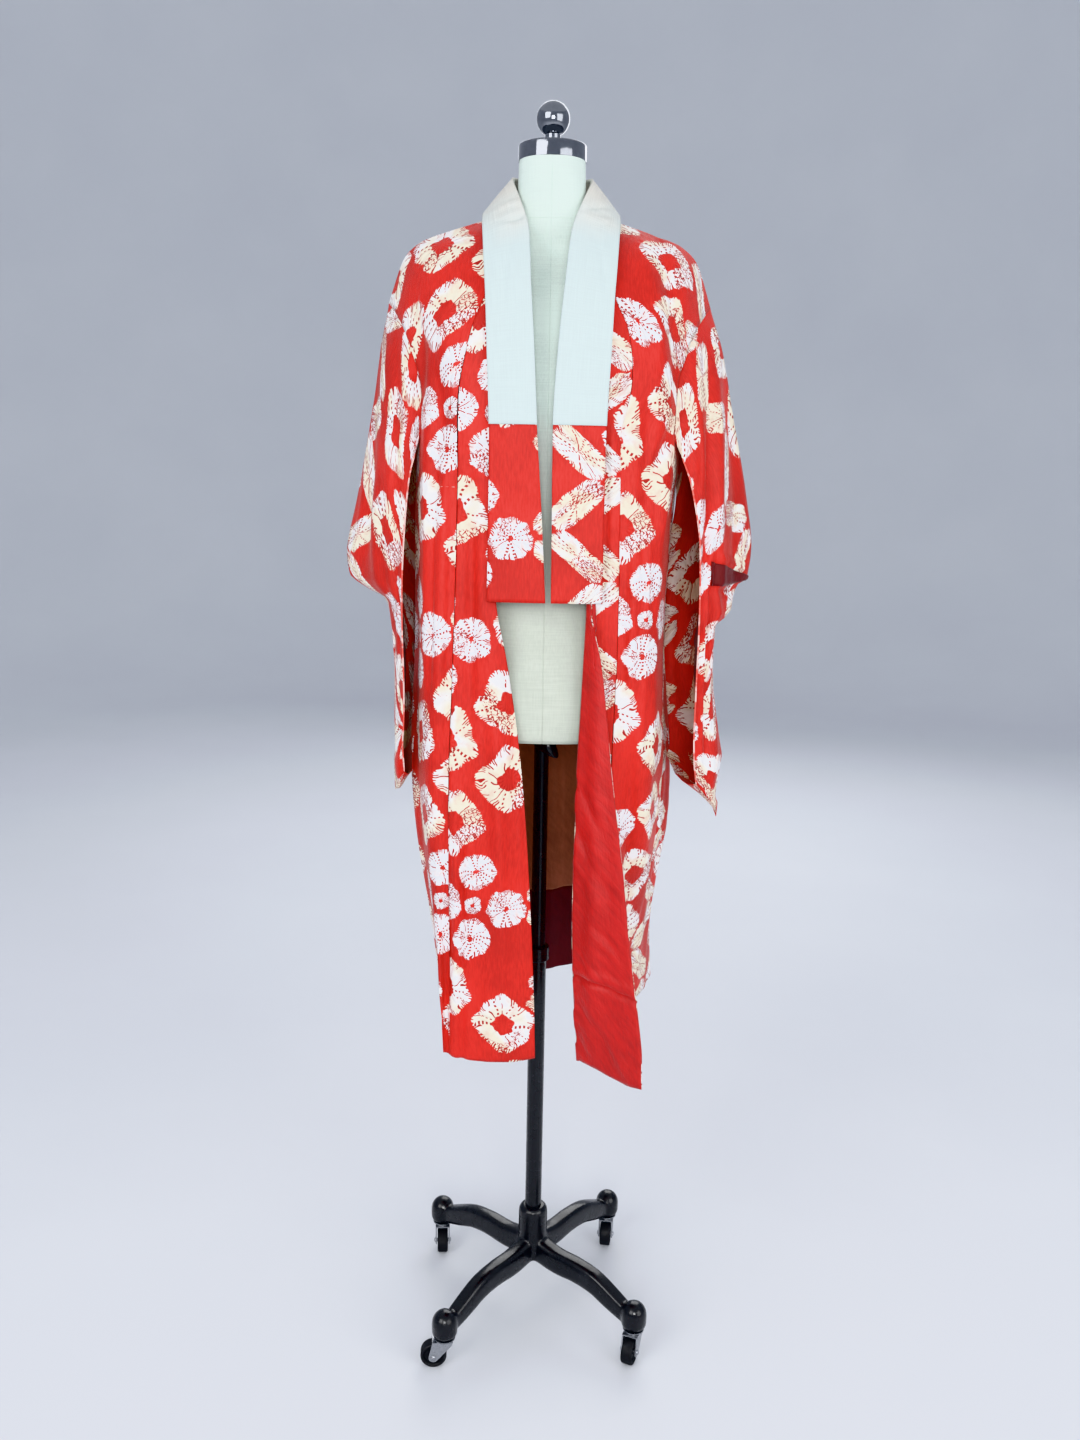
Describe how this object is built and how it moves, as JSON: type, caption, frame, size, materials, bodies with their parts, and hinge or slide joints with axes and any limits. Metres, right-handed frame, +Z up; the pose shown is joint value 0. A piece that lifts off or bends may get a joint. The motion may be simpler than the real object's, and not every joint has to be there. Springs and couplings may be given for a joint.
{
  "type": "silk kimono on a limbless dress form",
  "caption": "Red patterned silk kimono worn open on a limbless dress form, on a telescoping pole with a cast base and castors.",
  "frame": {"origin": "on the floor, on the pole's axis, at the middle of the footprint", "axes": "+Z up along the pole; -Y towards the garment's open front; -X towards the wearer's right side"},
  "size_m": [0.5578, 0.3754, 1.742],
  "materials": {
    "red_silk": "woven silk with a tie-dyed pattern",
    "plain_red_silk": "plain woven silk with a soft sheen",
    "linen": "fine plain weave, matt",
    "beige_lining": "plain weave, matt",
    "form_cover": "papier-mache shell under a pale cloth cover, matt",
    "chrome": "polished",
    "black_enamel": "gloss black enamel",
    "black_casting": "gloss black enamel",
    "zinc": "bright zinc plate",
    "black_tyre": "black plastic"
  },
  "bodies": {
    "base": {"base_casting": "black_casting", "lower_tube": "black_enamel", "height_collar": "black_enamel"},
    "upper": {"torso": "form_cover", "neck_cap": "chrome", "knob": "chrome", "upper_tube": "black_enamel", "body_right": "red_silk", "body_left": "red_silk", "overlap_right": "red_silk", "overlap_left": "red_silk", "sleeve_right": "red_silk", "sleeve_left": "red_silk", "collar_band": "red_silk", "front_facing": "plain_red_silk", "back_hem_band": "plain_red_silk", "cuff_facing_right": "plain_red_silk", "cuff_facing_left": "plain_red_silk", "collar_cover": "linen", "back_lining": "beige_lining"},
    "castor_front_right": {"fork_front_right": "zinc"},
    "roller_front_right": {"wheel_front_right": "black_tyre"},
    "castor_front_left": {"fork_front_left": "zinc"},
    "roller_front_left": {"wheel_front_left": "black_tyre"},
    "castor_back_left": {"fork_back_left": "zinc"},
    "roller_back_left": {"wheel_back_left": "black_tyre"},
    "castor_back_right": {"fork_back_right": "zinc"},
    "roller_back_right": {"wheel_back_right": "black_tyre"}
  },
  "joints": [
    {"name": "pole_height", "type": "slide", "parent": "base", "child": "upper", "axis": [0, 0, 1], "range_m": [-0.1, 0.15]},
    {"name": "swivel_front_right", "type": "hinge", "parent": "base", "child": "castor_front_right", "pos_m": [-0.1252, -0.1508, 0.0467], "axis": [0, 0, 1], "continuous": true},
    {"name": "roll_front_right", "type": "hinge", "parent": "castor_front_right", "child": "roller_front_right", "pos_m": [-0.14118, -0.15164, 0.019], "axis": [0.0523, -0.9986, 0], "continuous": true},
    {"name": "swivel_front_left", "type": "hinge", "parent": "base", "child": "castor_front_left", "pos_m": [0.1508, -0.1252, 0.0467], "axis": [0, 0, 1], "continuous": true},
    {"name": "roll_front_left", "type": "hinge", "parent": "castor_front_left", "child": "roller_front_left", "pos_m": [0.14481, -0.14003, 0.019], "axis": [0.9272, -0.3746, 0], "continuous": true},
    {"name": "swivel_back_left", "type": "hinge", "parent": "base", "child": "castor_back_left", "pos_m": [0.1252, 0.1508, 0.0467], "axis": [0, 0, 1], "continuous": true},
    {"name": "roll_back_left", "type": "hinge", "parent": "castor_back_left", "child": "roller_back_left", "pos_m": [0.12297, 0.13496, 0.019], "axis": [0.9903, -0.1392, 0], "continuous": true},
    {"name": "swivel_back_right", "type": "hinge", "parent": "base", "child": "castor_back_right", "pos_m": [-0.1508, 0.1252, 0.0467], "axis": [0, 0, 1], "continuous": true},
    {"name": "roll_back_right", "type": "hinge", "parent": "castor_back_right", "child": "roller_back_right", "pos_m": [-0.14941, 0.10926, 0.019], "axis": [0.9962, 0.0872, 0], "continuous": true}
  ]
}
